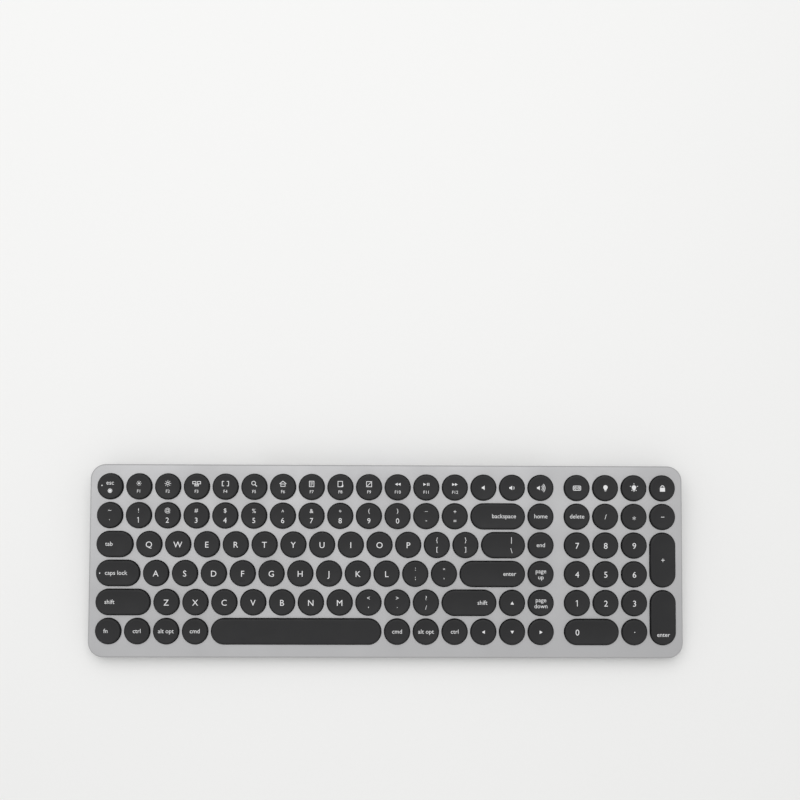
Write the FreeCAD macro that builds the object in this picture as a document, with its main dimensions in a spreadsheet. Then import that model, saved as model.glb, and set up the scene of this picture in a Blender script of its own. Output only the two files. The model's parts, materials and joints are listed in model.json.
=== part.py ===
import FreeCAD, Part
import math
import os
import Sketcher

# A full-size keyboard whose case is also a USB hub: an aluminium deck with round keys over a
# plastic bottom shell, and a row of sockets in the rear wall.
#
# World frame: +X to the right, +Y to the rear (where the plugs go in), +Z up. The origin is on the
# table under the middle of the keyboard. Millimetres.
# Deck frame: the deck slopes, and everything that lies along it is drawn in a frame of its own,
# with its origin at the front left corner of the deck's top face, +X right, +Y up the slope to the
# rear and +Z out of the deck. deck_placement() carries it to the world frame.

DOC = FreeCAD.newDocument("hub_keyboard")
SHEET = DOC.addObject("Spreadsheet::Sheet", "dimensions")

DIMENSIONS = {
    # key grid
    "pitch": 19.05,
    "left_margin": 13.45,
    "rear_margin": 14.7,
    "keypad_gap": 0.27,
    # case
    "case_width": 394.0,
    "case_depth": 127.3,
    "corner_radius": 10.0,
    "deck_angle": 4.5,
    "deck_height": 14.8,
    "deck_thickness": 1.5,
    "skirt_depth": 5.0,
    "wall": 1.8,
    "edge_chamfer": 0.8,
    "parting_gap": 0.25,
    "floor_gap": 1.2,
    "floor_thickness": 1.5,
    "bottom_edge_radius": 1.0,
    # keys
    "key_hole_radius": 8.7,
    "cap_radius": 8.3,
    "cap_rise": 2.2,
    "cap_height": 3.8,
    "cap_wall": 0.9,
    "cap_roof": 1.2,
    "cap_edge_radius": 0.45,
    "plunger_radius": 1.6,
    "plunger_length": 0.7,
    # sheets under the keys
    "stack_gap": 0.6,
    "stack_rear_gap": 5.3,
    "stack_top": 3.9,
    "membrane_thickness": 0.3,
    "plate_thickness": 0.5,
    "light_guide_thickness": 0.4,
    "light_hole_radius": 2.2,
    # screws, their posts and bosses
    "post_radius": 2.4,
    "post_clearance": 0.3,
    "boss_radius": 3.6,
    "screw_radius": 0.95,
    "pilot_radius": 1.0,
    "screw_head_radius": 1.9,
    "screw_head_height": 1.0,
    "screw_seat": 9.0,
    "screw_well_radius": 2.1,
    "screw_length": 6.4,
    "board_screw_length": 3.0,
    # board and sockets
    "board_top": 5.0,
    "board_thickness": 1.2,
    "board_left": 140.0,
    "board_right": 116.0,
    "board_front": 24.0,
    "panel_height": 9.0,
    "panel_bottom": 3.6,
    "panel_left": 84.0,
    "panel_right": 106.0,
    "panel_thickness": 1.6,
    "shell_thickness": 0.3,
    # feet
    "foot_length": 44.0,
    "foot_width": 9.0,
    "foot_recess": 0.4,
    "foot_x": 150.0,
    "foot_y": 51.0,
}
for line, (alias, number) in enumerate(DIMENSIONS.items(), start=1):
    SHEET.set(f"A{line}", alias)
    SHEET.set(f"B{line}", str(number))
    SHEET.setAlias(f"B{line}", alias)
DOC.recompute()


class Size:
    """A number and the spreadsheet formula that it comes from, so that both go into the model."""

    def __init__(self, number, formula):
        self.number = number
        self.formula = formula

    def __add__(self, other):
        other = as_size(other)
        return Size(self.number + other.number, f"({self.formula} + {other.formula})")

    def __sub__(self, other):
        other = as_size(other)
        return Size(self.number - other.number, f"({self.formula} - {other.formula})")

    def __mul__(self, factor):
        return Size(self.number * factor, f"{self.formula} * {factor}")


def as_size(thing):
    return thing if isinstance(thing, Size) else Size(float(thing), repr(float(thing)))


def dim(alias):
    """The named cell of the sheet as a Size."""
    return Size(SHEET.get(alias), f"dimensions.{alias}")


def mm(alias):
    """The named cell of the sheet as a plain number."""
    return SHEET.get(alias)


TILT = math.radians(mm("deck_angle"))
HALF_DEPTH = mm("case_depth") / 2
# The skirt is square to the sloping deck, so its lower edge leans to the rear by twice this much.
LEAN = mm("skirt_depth") * math.sin(TILT) / 2
SOCKET_FLOOR = mm("board_top")
REAR_FACE = HALF_DEPTH * math.cos(TILT) + LEAN


def deck_placement(rise=0.0):
    """The deck frame in the world, moved by rise along the deck's normal."""
    turn = FreeCAD.Rotation(FreeCAD.Vector(1, 0, 0), mm("deck_angle"))
    corner = FreeCAD.Vector(
        -mm("case_width") / 2,
        -HALF_DEPTH * math.cos(TILT) - LEAN,
        mm("deck_height") - HALF_DEPTH * math.sin(TILT),
    )
    return FreeCAD.Placement(corner, turn) * lift(rise)


def lift(rise):
    return FreeCAD.Placement(FreeCAD.Vector(0, 0, rise), FreeCAD.Rotation())


# ------------------------------------------------------------------ sketches and features


class Pen:
    """Draws outlines in a sketch. Every position and radius is bound to the sheet."""

    def __init__(self, body, name, plane="XY_Plane", offset=None):
        self.sketch = body.newObject("Sketcher::SketchObject", name)
        origin = [f for f in body.Origin.OriginFeatures if f.Role == plane]
        self.sketch.AttachmentSupport = [(origin[0], "")]
        self.sketch.MapMode = "FlatFace"
        if offset is not None:
            self.sketch.AttachmentOffset = offset
        self.geometry = []
        self.constraints = []
        self.formulas = {}

    def _measure(self, kind, geometry, size, point=None):
        """A dimension constraint that follows a formula of the sheet."""
        self.formulas[len(self.constraints)] = size.formula
        parts = (kind, geometry, size.number) if point is None else (kind, geometry, point, size.number)
        self.constraints.append(Sketcher.Constraint(*parts))

    def _hold(self, geometry, x, y):
        """Holds the centre of a circle or arc at x, y."""
        self._measure("DistanceX", geometry, as_size(x), 3)
        self._measure("DistanceY", geometry, as_size(y), 3)

    def circle(self, x, y, radius):
        x, y, radius = as_size(x), as_size(y), as_size(radius)
        index = len(self.geometry)
        centre = FreeCAD.Vector(x.number, y.number, 0)
        self.geometry.append(Part.Circle(centre, FreeCAD.Vector(0, 0, 1), radius.number))
        self._measure("Radius", index, radius)
        self._hold(index, x, y)

    def _loop(self, corners, radius):
        """A closed outline of arcs about the given centres, anticlockwise, joined by tangent lines."""
        first = len(self.geometry)
        count = len(corners)
        share = 2 * math.pi / count
        places = [FreeCAD.Vector(x.number, y.number, 0) for x, y in corners]
        # The first arc starts square to the side that runs into it.
        side = places[0] - places[-1]
        start = math.atan2(side.y, side.x) - math.pi / 2
        for n, place in enumerate(places):
            full = Part.Circle(place, FreeCAD.Vector(0, 0, 1), radius.number)
            self.geometry.append(Part.ArcOfCircle(full, start + n * share, start + (n + 1) * share))
        for n in range(count):
            end = self.geometry[first + n].EndPoint
            begin = self.geometry[first + (n + 1) % count].StartPoint
            self.geometry.append(Part.LineSegment(end, begin))
        for n in range(count):
            line_index = first + count + n
            next_arc = first + (n + 1) % count
            self.constraints.append(Sketcher.Constraint("Tangent", first + n, 2, line_index, 1))
            self.constraints.append(Sketcher.Constraint("Tangent", line_index, 2, next_arc, 1))
        self._measure("Radius", first, radius)
        for n in range(1, count):
            self.constraints.append(Sketcher.Constraint("Equal", first, first + n))
        return first

    def slot(self, x, y, reach_x, reach_y, radius):
        """A slot with round ends about x, y. Its end centres are reach_x, reach_y either side."""
        x, y, radius = as_size(x), as_size(y), as_size(radius)
        reach_x, reach_y = as_size(reach_x), as_size(reach_y)
        ends = [(x + reach_x, y + reach_y), (x - reach_x, y - reach_y)]
        first = self._loop(ends, radius)
        for n, (end_x, end_y) in enumerate(ends):
            self._hold(first + n, end_x, end_y)

    def panel(self, left, bottom, right, top, radius):
        """A rectangle with rounded corners."""
        left, bottom, right, top = as_size(left), as_size(bottom), as_size(right), as_size(top)
        radius = as_size(radius)
        corners = [
            (right - radius, bottom + radius),
            (right - radius, top - radius),
            (left + radius, top - radius),
            (left + radius, bottom + radius),
        ]
        first = self._loop(corners, radius)
        for n in (0, 2):
            self._hold(first + n, *corners[n])
        for n, kind in enumerate(("Vertical", "Horizontal", "Vertical", "Horizontal")):
            self.constraints.append(Sketcher.Constraint(kind, first + 4 + n))

    def key(self, key, radius):
        """The outline of one key, at the given end radius, drawn at its place on the deck."""
        x, y = key_centre(key)
        if key["wide"] == 1 and key["tall"] == 1:
            self.circle(x, y, radius)
        else:
            reach_x = dim("pitch") * ((key["wide"] - 1) / 2)
            reach_y = dim("pitch") * ((key["tall"] - 1) / 2)
            self.slot(x, y, reach_x, reach_y, radius)

    def done(self):
        self.sketch.addGeometry(self.geometry, False)
        self.sketch.addConstraint(self.constraints)
        for index, formula in self.formulas.items():
            self.sketch.setExpression(f"Constraints[{index}]", formula)
        DOC.recompute()
        return self.sketch


def new_body(label, placement=None):
    body = DOC.addObject("PartDesign::Body", label)
    body.Label = label
    if placement is not None:
        body.Placement = placement
    return body


def pad(body, sketch, length, downward=False):
    feature = body.newObject("PartDesign::Pad", sketch.Name + "_pad")
    feature.Profile = sketch
    feature.Reversed = downward
    length = as_size(length)
    feature.Length = length.number
    feature.setExpression("Length", length.formula)
    DOC.recompute()
    return feature


def pocket(body, sketch, length=None, upward=False):
    """Cuts the sketch out of the body, to a length or right through, and makes sure that it did."""
    before = body.Shape.Volume
    feature = body.newObject("PartDesign::Pocket", sketch.Name + "_pocket")
    feature.Profile = sketch
    feature.Reversed = upward
    if length is None:
        feature.Type = "ThroughAll"
    else:
        length = as_size(length)
        feature.Length = length.number
        feature.setExpression("Length", length.formula)
    DOC.recompute()
    if not body.Shape.Volume < before - 1e-3:
        raise RuntimeError(f"{feature.Name} cut nothing from {body.Label}")
    return feature


def soften(body, feature, kind, size, chosen):
    """A fillet or chamfer on the edges of the last feature for which chosen(edge) is true."""
    names = [f"Edge{n + 1}" for n, edge in enumerate(feature.Shape.Edges) if chosen(edge)]
    if not names:
        raise RuntimeError(f"no edge of {body.Label} was chosen for its {kind}")
    made = body.newObject("PartDesign::" + kind, f"{body.Name}_{kind.lower()}")
    made.Base = (feature, names)
    size = as_size(size)
    prop = "Radius" if kind == "Fillet" else "Size"
    setattr(made, prop, size.number)
    made.setExpression(prop, size.formula)
    DOC.recompute()
    return made


def at_height(edge, height):
    return all(abs(vertex.Point.z - height) < 1e-4 for vertex in edge.Vertexes)


def solid_part(label, shape):
    """A piece made with Part's own functions, for shapes repeated many times or swept."""
    piece = DOC.addObject("Part::Feature", label)
    piece.Label = label
    piece.Shape = shape
    return piece


# ------------------------------------------------------------------ key layout

LETTER_ROWS = ("qwertyuiop", "asdfghjkl", "zxcvbnm")
# Each row runs left to right from the left edge of the grid: (name, width in key pitches).
MAIN_ROWS = (
    [("escape", 1)] + [(f"f{n}", 1) for n in range(1, 13)] + [("mute", 1), ("quieter", 1), ("louder", 1)],
    [(name, 1) for name in ("backquote", *"1234567890", "minus", "equals")] + [("backspace", 2), ("home", 1)],
    [("tab", 1.375)] + [(c, 1) for c in LETTER_ROWS[0]]
    + [("left_bracket", 1), ("right_bracket", 1), ("backslash", 1.625), ("end", 1)],
    [("caps_lock", 1.625)] + [(c, 1) for c in LETTER_ROWS[1]]
    + [("semicolon", 1), ("quote", 1), ("enter", 2.375), ("page_up", 1)],
    [("left_shift", 2)] + [(c, 1) for c in LETTER_ROWS[2]]
    + [("comma", 1), ("period", 1), ("slash", 1), ("right_shift", 2), ("up", 1), ("page_down", 1)],
    [(name, 1) for name in ("function", "left_control", "left_option", "left_command")] + [("space", 6)]
    + [(name, 1) for name in ("right_command", "right_option", "right_control", "left", "down", "right")],
)
# Keypad: (name, column, row, width, height), the column and row of its first cell.
KEYPAD = (
    ("calculator", 0, 0, 1, 1), ("dimmer", 1, 0, 1, 1), ("brighter", 2, 0, 1, 1), ("lock", 3, 0, 1, 1),
    ("pad_delete", 0, 1, 1, 1), ("pad_divide", 1, 1, 1, 1), ("pad_multiply", 2, 1, 1, 1),
    ("pad_subtract", 3, 1, 1, 1), ("pad_7", 0, 2, 1, 1), ("pad_8", 1, 2, 1, 1), ("pad_9", 2, 2, 1, 1),
    ("pad_plus", 3, 2, 1, 2), ("pad_4", 0, 3, 1, 1), ("pad_5", 1, 3, 1, 1), ("pad_6", 2, 3, 1, 1),
    ("pad_1", 0, 4, 1, 1), ("pad_2", 1, 4, 1, 1), ("pad_3", 2, 4, 1, 1), ("pad_enter", 3, 4, 1, 2),
    ("pad_0", 0, 5, 2, 1), ("pad_point", 2, 5, 1, 1),
)


def lay_out():
    """Every key with its centre, in key pitches right of and below the escape key's centre."""
    keys = []
    for row, names in enumerate(MAIN_ROWS):
        left = -0.5
        for name, wide in names:
            across = left + wide / 2
            keys.append({"name": name, "across": across, "down": float(row), "wide": wide, "tall": 1})
            left += wide
    first = len(MAIN_ROWS[0])
    for name, column, row, wide, tall in KEYPAD:
        across = first + mm("keypad_gap") + column + (wide - 1) / 2
        down = row + (tall - 1) / 2
        keys.append({"name": name, "across": across, "down": down, "wide": wide, "tall": tall})
    return keys


def key_centre(key):
    x = dim("left_margin") + dim("pitch") * key["across"]
    y = dim("case_depth") - dim("rear_margin") - dim("pitch") * key["down"]
    return x, y


KEYS = lay_out()


def node_of(key):
    """The node that a key belongs to: its own for a letter or a wide key, or else its block's."""
    name = key["name"]
    letter = len(name) == 1 and name.isalpha()
    if letter or key["wide"] > 1 or key["tall"] > 1:
        return "key_" + name
    if key["down"] == 0:
        return "function_keys"
    if name.startswith("pad_"):
        return "keypad_keys"
    if name in ("home", "end", "page_up", "page_down", "up") or key["down"] == 5:
        return "modifier_and_arrow_keys"
    return "number_and_symbol_keys"


# ------------------------------------------------------------------ deck, keys and what is under them

# Screw places, in key pitches like the keys: the gaps between four round keys.
SCREW_SPOTS = (
    (0.5, 0.5), (5.5, 0.5), (10.5, 0.5), (17.77, 0.5),
    (2.5, 4.5), (10.5, 4.5), (14.5, 4.5), (17.77, 4.5),
)


def spot(across, down):
    return key_centre({"across": across, "down": down})


def deck_outline(pen, inset=0.0, rear_inset=None):
    """The case's plan in the deck frame, drawn smaller by inset all round."""
    inset = as_size(inset)
    rear = inset if rear_inset is None else as_size(rear_inset)
    radius = dim("corner_radius") - inset
    pen.panel(inset, inset, dim("case_width") - inset, dim("case_depth") - rear, radius)


def make_top_case():
    """Aluminium deck with a hole for every key, a skirt round it and threaded posts below."""
    body = new_body("top_case", deck_placement())
    pen = Pen(body, "deck_face")
    deck_outline(pen)
    for key in KEYS:
        pen.key(key, dim("key_hole_radius"))
    pad(body, pen.done(), dim("deck_thickness"), downward=True)

    def outer_top(edge):
        middle = edge.valueAt((edge.FirstParameter + edge.LastParameter) / 2)
        near_side = min(middle.x, middle.y, mm("case_width") - middle.x, mm("case_depth") - middle.y)
        return at_height(edge, 0.0) and near_side < 3

    pen = Pen(body, "skirt", offset=lift(-mm("deck_thickness")))
    deck_outline(pen)
    deck_outline(pen, dim("wall"))
    pad(body, pen.done(), dim("skirt_depth") - dim("deck_thickness"), downward=True)
    pen = Pen(body, "posts", offset=lift(-mm("deck_thickness")))
    for place in SCREW_SPOTS:
        pen.circle(*spot(*place), dim("post_radius"))
    pad(body, pen.done(), dim("skirt_depth") - dim("deck_thickness"), downward=True)
    pen = Pen(body, "pilots", offset=lift(-mm("skirt_depth")))
    for place in SCREW_SPOTS:
        pen.circle(*spot(*place), dim("pilot_radius"))
    drilled = pocket(body, pen.done(), dim("skirt_depth") - dim("deck_thickness") * 1.5, upward=True)
    soften(body, drilled, "Chamfer", dim("edge_chamfer"), outer_top)


def make_keys():
    """One body for each key node: a hollow cap with a rounded rim and a plunger over its dome."""
    nodes = {}
    for key in KEYS:
        nodes.setdefault(node_of(key), []).append(key)
    foot = mm("cap_rise") - mm("cap_height")
    cavity = dim("cap_height") - dim("cap_roof")
    for label, keys in nodes.items():
        body = new_body(label, deck_placement(foot))
        pen = Pen(body, label + "_outline")
        for key in keys:
            pen.key(key, dim("cap_radius"))
        blank = pad(body, pen.done(), dim("cap_height"))
        soften(body, blank, "Fillet", dim("cap_edge_radius"), lambda e: at_height(e, mm("cap_height")))
        pen = Pen(body, label + "_cavity")
        for key in keys:
            pen.key(key, dim("cap_radius") - dim("cap_wall"))
        pocket(body, pen.done(), cavity, upward=True)
        pen = Pen(body, label + "_plunger", offset=lift(cavity.number - mm("plunger_length")))
        for key in keys:
            pen.circle(*key_centre(key), dim("plunger_radius"))
        pad(body, pen.done(), dim("plunger_length") + 0.2)


def make_sheet(label, top, thickness, hole_radius=None):
    """A flat sheet under the keys, cleared round the screw posts and open under each key if asked."""
    body = new_body(label, deck_placement(-top))
    pen = Pen(body, label + "_plan")
    inset = dim("wall") + dim("stack_gap")
    deck_outline(pen, inset, rear_inset=dim("stack_rear_gap"))
    for place in SCREW_SPOTS:
        pen.circle(*spot(*place), dim("post_radius") + dim("post_clearance"))
    if hole_radius is not None:
        for key in KEYS:
            pen.circle(*key_centre(key), hole_radius)
    pad(body, pen.done(), thickness, downward=True)


def at_every_key(shape):
    """Copies of a shape drawn about the deck frame's origin, one at the centre of each key."""
    copies = []
    for key in KEYS:
        x, y = key_centre(key)
        copies.append(shape.translated(FreeCAD.Vector(x.number, y.number, 0)))
    return Part.Compound(copies)


DOME_HEIGHT = mm("stack_top") + mm("cap_rise") - mm("cap_roof") - mm("plunger_length") - 0.05


def make_domes():
    """Silicone domes on the membrane: a skirt, a thin collapsing cone and a round head."""
    head = 1.7
    base = 2.9
    skin = 0.35
    rim = 0.5
    top = DOME_HEIGHT
    room = base - skin - 0.3
    outside = [(0, 0), (base, 0), (base, rim), (head, top - 0.6), (head, top), (0, top)]
    inside = [(0, -1), (room, -1), (room, rim - 0.2), (head - skin, top - 1.1), (0, top - 1.1)]
    turned = []
    for outline in (outside, inside):
        points = [FreeCAD.Vector(r, 0, z) for r, z in outline + outline[:1]]
        face = Part.Face(Part.makePolygon(points))
        turned.append(face.revolve(FreeCAD.Vector(0, 0, 0), FreeCAD.Vector(0, 0, 1), 360))
    piece = solid_part("rubber_domes", at_every_key(turned[0].cut(turned[1])))
    piece.Placement = deck_placement(-mm("stack_top"))


def bar(x0, x1, y0, y1, z0, z1):
    """A box from its limits on each axis."""
    return Part.makeBox(x1 - x0, y1 - y0, z1 - z0, FreeCAD.Vector(x0, y0, z0))


def make_scissors():
    """The two crossing links under every key: an outer frame and an inner one with pivot stubs."""
    reach = 4.8
    thick = 0.8
    outer_half = 5.5
    side = 1.0
    end = 1.2
    gap = 0.15
    stub = 0.3
    lean = 21.0
    room = mm("stack_top") + mm("cap_rise") - mm("cap_roof")
    outer = bar(-outer_half, outer_half, -reach, reach, -thick / 2, thick / 2).cut(
        bar(-outer_half + side, outer_half - side, -reach + end, reach - end, -thick, thick)
    )
    inner_half = outer_half - side - gap
    inner = bar(-inner_half, inner_half, -reach, reach, -thick / 2, thick / 2).cut(
        bar(-inner_half + side, inner_half - side, -reach + end, reach - end, -thick, thick)
    )
    across = FreeCAD.Vector(1, 0, 0)
    pivot = Part.makeCylinder(stub, 2 * outer_half - 0.4, FreeCAD.Vector(-outer_half + 0.2, 0, 0), across)
    socket = Part.makeCylinder(stub + 0.05, 2 * outer_half, FreeCAD.Vector(-outer_half, 0, 0), across)
    clear = bar(-inner_half + side, inner_half - side, -stub, stub, -thick, thick)
    outer = outer.cut(socket)
    inner = inner.fuse(pivot.cut(clear)).removeSplitter()
    links = []
    for link, turn in ((outer, lean), (inner, -lean)):
        leaning = link.copy()
        leaning.rotate(FreeCAD.Vector(0, 0, 0), across, turn)
        leaning.translate(FreeCAD.Vector(0, 0, room / 2))
        links.append(at_every_key(leaning))
    piece = solid_part("scissor_links", Part.Compound(links))
    piece.Placement = deck_placement(-mm("stack_top"))


def make_stabilisers():
    """Bent wires that keep the wide keys level, lying beside their scissors."""
    wire_radius = 0.4
    bend = 1.5
    arm = 4.2
    level = -mm("cap_rise") + mm("cap_roof") + 3.0
    wires = []
    for key in KEYS:
        long_side = max(key["wide"], key["tall"])
        if long_side < 2:
            continue
        x, y = key_centre(key)
        half = (long_side - 1) * mm("pitch") / 2 + 2.0
        track = 6.6
        corners = [(-half, track - arm), (-half, track - bend), (-half + bend, track),
                   (half - bend, track), (half, track - bend), (half, track - arm)]
        points = [FreeCAD.Vector(a, b, 0) for a, b in corners]
        quarter = bend * (1 - math.sqrt(0.5))
        edges = [
            Part.makeLine(points[0], points[1]),
            Part.Arc(points[1], FreeCAD.Vector(-half + quarter, track - quarter, 0), points[2]).toShape(),
            Part.makeLine(points[2], points[3]),
            Part.Arc(points[3], FreeCAD.Vector(half - quarter, track - quarter, 0), points[4]).toShape(),
            Part.makeLine(points[4], points[5]),
        ]
        section = Part.Wire(Part.makeCircle(wire_radius, points[0], FreeCAD.Vector(0, 1, 0)))
        wire = Part.Wire(edges).makePipeShell([section], True, True)
        if key["tall"] > 1:
            wire.rotate(FreeCAD.Vector(0, 0, 0), FreeCAD.Vector(0, 0, 1), 90)
        wires.append(wire.translated(FreeCAD.Vector(x.number, y.number, 0)))
    piece = solid_part("stabiliser_wires", Part.Compound(wires))
    piece.Placement = deck_placement(-level)


# ------------------------------------------------------------------ bottom shell and rear panel


def make_bottom_cover():
    """Plastic tray: upright walls under the skirt, bosses for the screws and a window for the panel.

    The tray is drawn in the world frame, and its parting edge and screw holes on planes that lie
    along the deck.
    """
    body = new_body("bottom_cover")
    wall = dim("wall")
    front = 2 * LEAN - REAR_FACE
    outline = (-mm("case_width") / 2, front, mm("case_width") / 2, REAR_FACE)
    pen = Pen(body, "shell", offset=lift(mm("floor_gap")))
    pen.panel(*outline, dim("corner_radius"))
    block = pad(body, pen.done(), 22.0)
    low = mm("floor_gap")
    soften(body, block, "Fillet", dim("bottom_edge_radius"), lambda e: at_height(e, low))
    pen = Pen(body, "inside", offset=lift(mm("floor_gap") + mm("floor_thickness")))
    inner = [side + step * wall.number for side, step in zip(outline, (1, 1, -1, -1))]
    pen.panel(*inner, dim("corner_radius") - wall)
    pocket(body, pen.done(), upward=True)

    pen = Pen(body, "bosses", offset=deck_placement(-mm("skirt_depth") - mm("parting_gap")))
    for place in SCREW_SPOTS:
        pen.circle(*spot(*place), dim("boss_radius"))
    bosses = body.newObject("PartDesign::Pad", "bosses_pad")
    bosses.Profile = pen.done()
    bosses.Reversed = True
    bosses.Type = "UpToFirst"
    DOC.recompute()

    reach = 400.0
    pen = Pen(body, "parting", offset=deck_placement(-mm("skirt_depth") - mm("parting_gap")))
    pen.panel(-reach, -reach, 2 * reach, 2 * reach, 50.0)
    pocket(body, pen.done(), 60.0, upward=True)
    pen = Pen(body, "screw_holes", offset=deck_placement(-mm("skirt_depth")))
    for place in SCREW_SPOTS:
        pen.circle(*spot(*place), dim("pilot_radius") + 0.15)
    pocket(body, pen.done())
    pen = Pen(body, "screw_wells", offset=deck_placement(-mm("screw_seat")))
    for place in SCREW_SPOTS:
        pen.circle(*spot(*place), dim("screw_well_radius"))
    pocket(body, pen.done())

    # A sketch on the XZ plane has its normal to the front, so this one starts just inside the wall.
    offset = lift(2 * wall.number - REAR_FACE)
    pen = Pen(body, "window", plane="XZ_Plane", offset=offset)
    low = mm("panel_bottom")
    pen.panel(-mm("panel_left"), low, mm("panel_right"), low + mm("panel_height"), 1.5)
    pocket(body, pen.done(), 3 * wall.number)

    pen = Pen(body, "foot_recesses", offset=lift(mm("floor_gap")))
    for x, y in foot_places():
        pen.slot(x, y, (mm("foot_length") - mm("foot_width")) / 2, 0.0, mm("foot_width") / 2 + 0.1)
    pocket(body, pen.done(), dim("foot_recess"), upward=True)

    pen = Pen(body, "standoffs", offset=lift(mm("floor_gap") + 0.6))
    for x, y in BOARD_SCREWS:
        pen.circle(x, y, dim("post_radius"))
    height = SOCKET_FLOOR - mm("board_thickness") - mm("floor_gap") - 0.65
    pad(body, pen.done(), height)
    pen = Pen(body, "board_pilots", offset=lift(SOCKET_FLOOR))
    for x, y in BOARD_SCREWS:
        pen.circle(x, y, dim("pilot_radius"))
    pocket(body, pen.done(), mm("board_screw_length") + 0.2)


def foot_places():
    for x in (-mm("foot_x"), mm("foot_x")):
        for y in (-mm("foot_y"), mm("foot_y")):
            yield x, y


def make_feet():
    """Four rubber strips glued into the recesses of the bottom cover."""
    body = new_body("rubber_feet")
    pen = Pen(body, "feet_plan")
    for x, y in foot_places():
        pen.slot(x, y, (mm("foot_length") - mm("foot_width")) / 2, 0.0, dim("foot_width") * 0.5)
    block = pad(body, pen.done(), dim("floor_gap") + dim("foot_recess"))
    soften(body, block, "Chamfer", 0.3, lambda e: at_height(e, 0.0))


# ------------------------------------------------------------------ sockets and board

# Sockets along the rear wall. Widths and heights are of the opening inside the metal shell.
SOCKETS = {
    "usb_c_sockets": {"x": (-73.2, -58.7), "wide": 8.34, "high": 2.56, "round": 1.25, "deep": 7.9},
    "usb_a_sockets": {"x": (-21.7, -2.9, 15.9), "wide": 12.5, "high": 5.12, "round": 0.4, "deep": 14.0},
    "sd_card_socket": {"x": (44.1,), "wide": 24.4, "high": 2.5, "round": 0.3, "deep": 17.0},
    "micro_sd_socket": {"x": (70.5,), "wide": 11.4, "high": 1.2, "round": 0.2, "deep": 12.5},
    "hdmi_socket": {"x": (92.2,), "wide": 14.0, "high": 4.55, "round": 0.5, "deep": 11.5},
}
# The insulator inside each kind: tongue width, thickness, length, height above the opening's middle.
TONGUES = {
    "usb_c_sockets": (6.6, 0.7, 5.0, 0.0),
    "usb_a_sockets": (11.1, 1.84, 9.2, 0.95),
    "sd_card_socket": (22.0, 0.5, 11.0, 0.75),
    "micro_sd_socket": (9.6, 0.3, 7.0, 0.3),
    "hdmi_socket": (11.2, 1.1, 7.6, 0.25),
}
PANEL_SETBACK = 0.3
SOLDER = 0.1
BOARD_SCREWS = ((-135.0, 56.0), (-98.0, 30.0), (27.0, 52.0), (108.0, 52.0), (60.0, 29.0))
BOARD_REAR_GAP = 0.5
CLEARANCE = 0.25


def socket_middle(kind):
    """Height of the middle of a socket's opening: its shell stands on the board."""
    return SOCKET_FLOOR + SOLDER + mm("shell_thickness") + kind["high"] / 2


def rounded_block(x, z, wide, high, radius, rear, deep):
    """A block with rounded long edges, running from its rear face towards the front."""
    block = bar(x - wide / 2, x + wide / 2, rear - deep, rear, z - high / 2, z + high / 2)
    along = [e for e in block.Edges if abs(e.BoundBox.YLength - deep) < 1e-6]
    return block.makeFillet(min(radius, high / 2 - 0.03), along)


def make_port_panel():
    """Plastic strip in the rear window, pierced for each socket, with a lead-in round each hole."""
    body = new_body("port_panel")
    # A sketch on the XZ plane has its normal to the front, so the strip lies forward of its sketch.
    offset = FreeCAD.Placement(FreeCAD.Vector(0, 0, -REAR_FACE), FreeCAD.Rotation())
    low = mm("panel_bottom") + CLEARANCE / 2
    high = mm("panel_bottom") + mm("panel_height") - CLEARANCE / 2
    pen = Pen(body, "strip", plane="XZ_Plane", offset=offset)
    pen.panel(-mm("panel_left") + CLEARANCE / 2, low, mm("panel_right") - CLEARANCE / 2, high, 1.4)
    pad(body, pen.done(), dim("panel_thickness"))
    pen = Pen(body, "ports", plane="XZ_Plane", offset=offset)
    grow = mm("shell_thickness") + CLEARANCE
    for kind in SOCKETS.values():
        middle = socket_middle(kind)
        wide, high = kind["wide"] / 2 + grow, kind["high"] / 2 + grow
        for x in kind["x"]:
            radius = min(kind["round"] + grow, high - 0.03)
            pen.panel(x - wide, middle - high, x + wide, middle + high, radius)
    pocket(body, pen.done(), mm("panel_thickness") * 2, upward=True)


def make_sockets():
    """Each kind of socket: a folded steel shell, open to the rear, round a plastic insulator."""
    skin = mm("shell_thickness")
    for label, kind in SOCKETS.items():
        middle = socket_middle(kind)
        rear = REAR_FACE - PANEL_SETBACK
        wide, high, deep, corner = kind["wide"], kind["high"], kind["deep"], kind["round"]
        tongue_wide, tongue_thick, tongue_long, rise = TONGUES[label]
        solids = []
        for x in kind["x"]:
            grown = wide + 2 * skin, high + 2 * skin, corner + skin
            outer = rounded_block(x, middle, *grown, rear, deep)
            hollow = rounded_block(x, middle, wide, high, corner, rear, deep - skin)
            solids.append(outer.cut(hollow))
            back_long = deep - skin - tongue_long - 0.7
            back_rear = rear - deep + skin + back_long
            back = rounded_block(x, middle, wide - 0.1, high - 0.1, corner, back_rear, back_long - 0.05)
            level = middle + rise
            tongue = bar(
                x - tongue_wide / 2, x + tongue_wide / 2, back_rear - 0.1, back_rear + tongue_long,
                level - tongue_thick / 2, level + tongue_thick / 2,
            )
            solids.append(back.fuse(tongue).removeSplitter())
        solid_part(label, Part.Compound(solids))


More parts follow.
